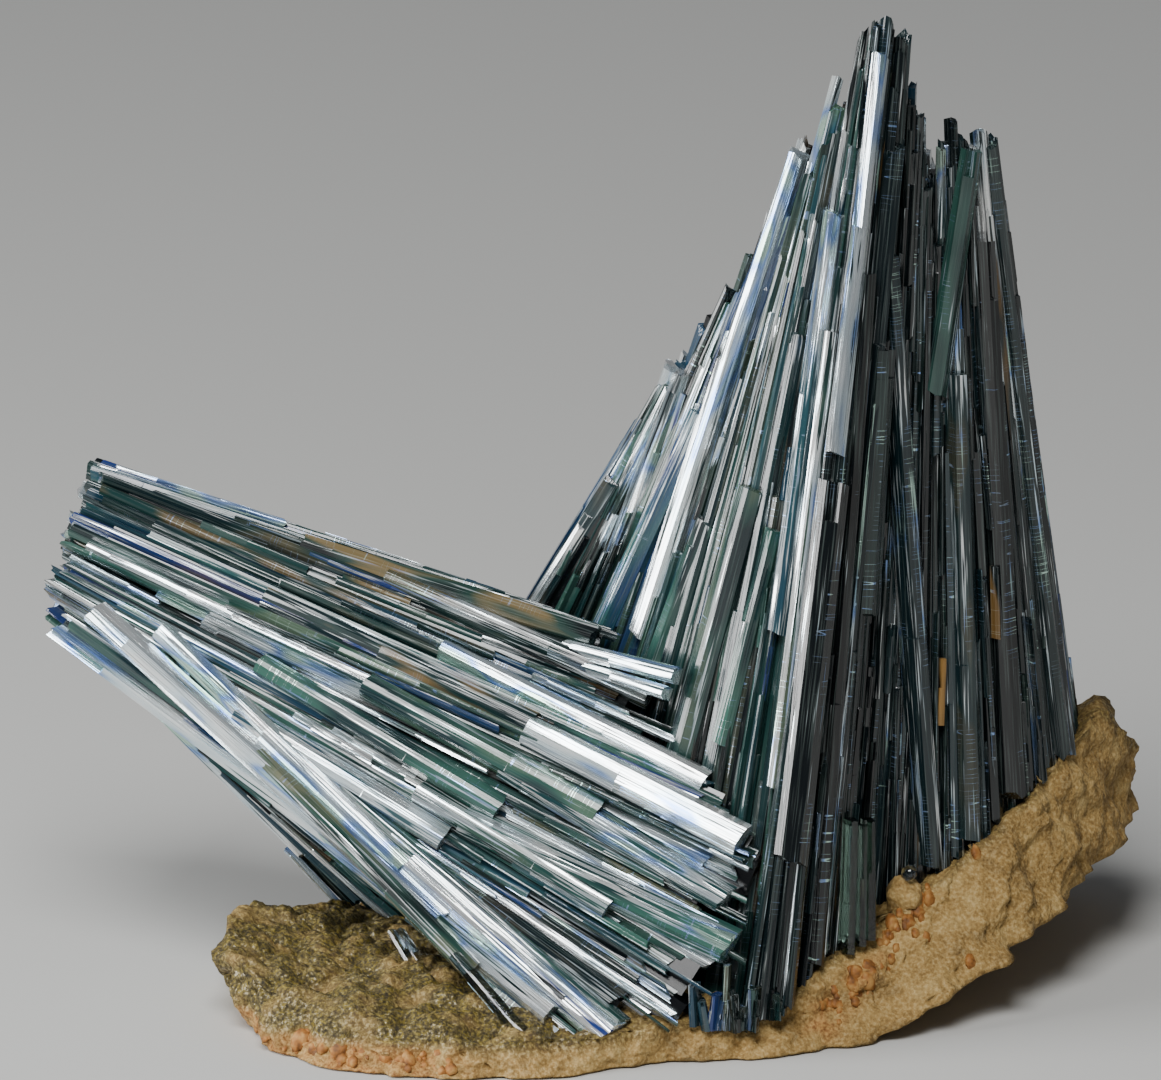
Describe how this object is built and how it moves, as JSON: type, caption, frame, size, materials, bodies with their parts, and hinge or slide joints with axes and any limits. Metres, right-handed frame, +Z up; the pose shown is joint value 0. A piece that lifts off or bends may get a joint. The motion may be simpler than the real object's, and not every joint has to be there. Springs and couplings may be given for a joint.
{
  "type": "vivianite crystal specimen",
  "caption": "Mineral specimen: a tall upright spray and a leaning spray of long dark blue-green vivianite blades, grown on a thin slab of tan ironstone.",
  "frame": {"origin": "middle of the specimen's box in plan, at the height of the flat underside of its rock", "axes": "+X to the right seen from the front, away from the leaning spray; +Y to the back; +Z up"},
  "size_m": [0.1109, 0.0696, 0.1011],
  "materials": {
    "ironstone": "granular tan and ochre rock with sparkling olive lumps and orange pods",
    "vivianite": "dark blue-green glassy crystal with pearly striated cleavage faces",
    "pale_vivianite": "pale grey-blue translucent crystal"
  },
  "bodies": {
    "root": {"matrix": "ironstone", "upright_spray": "vivianite", "leaning_spray": "vivianite", "stub_crystal": "vivianite", "small_crystal": "pale_vivianite"}
  },
  "joints": []
}
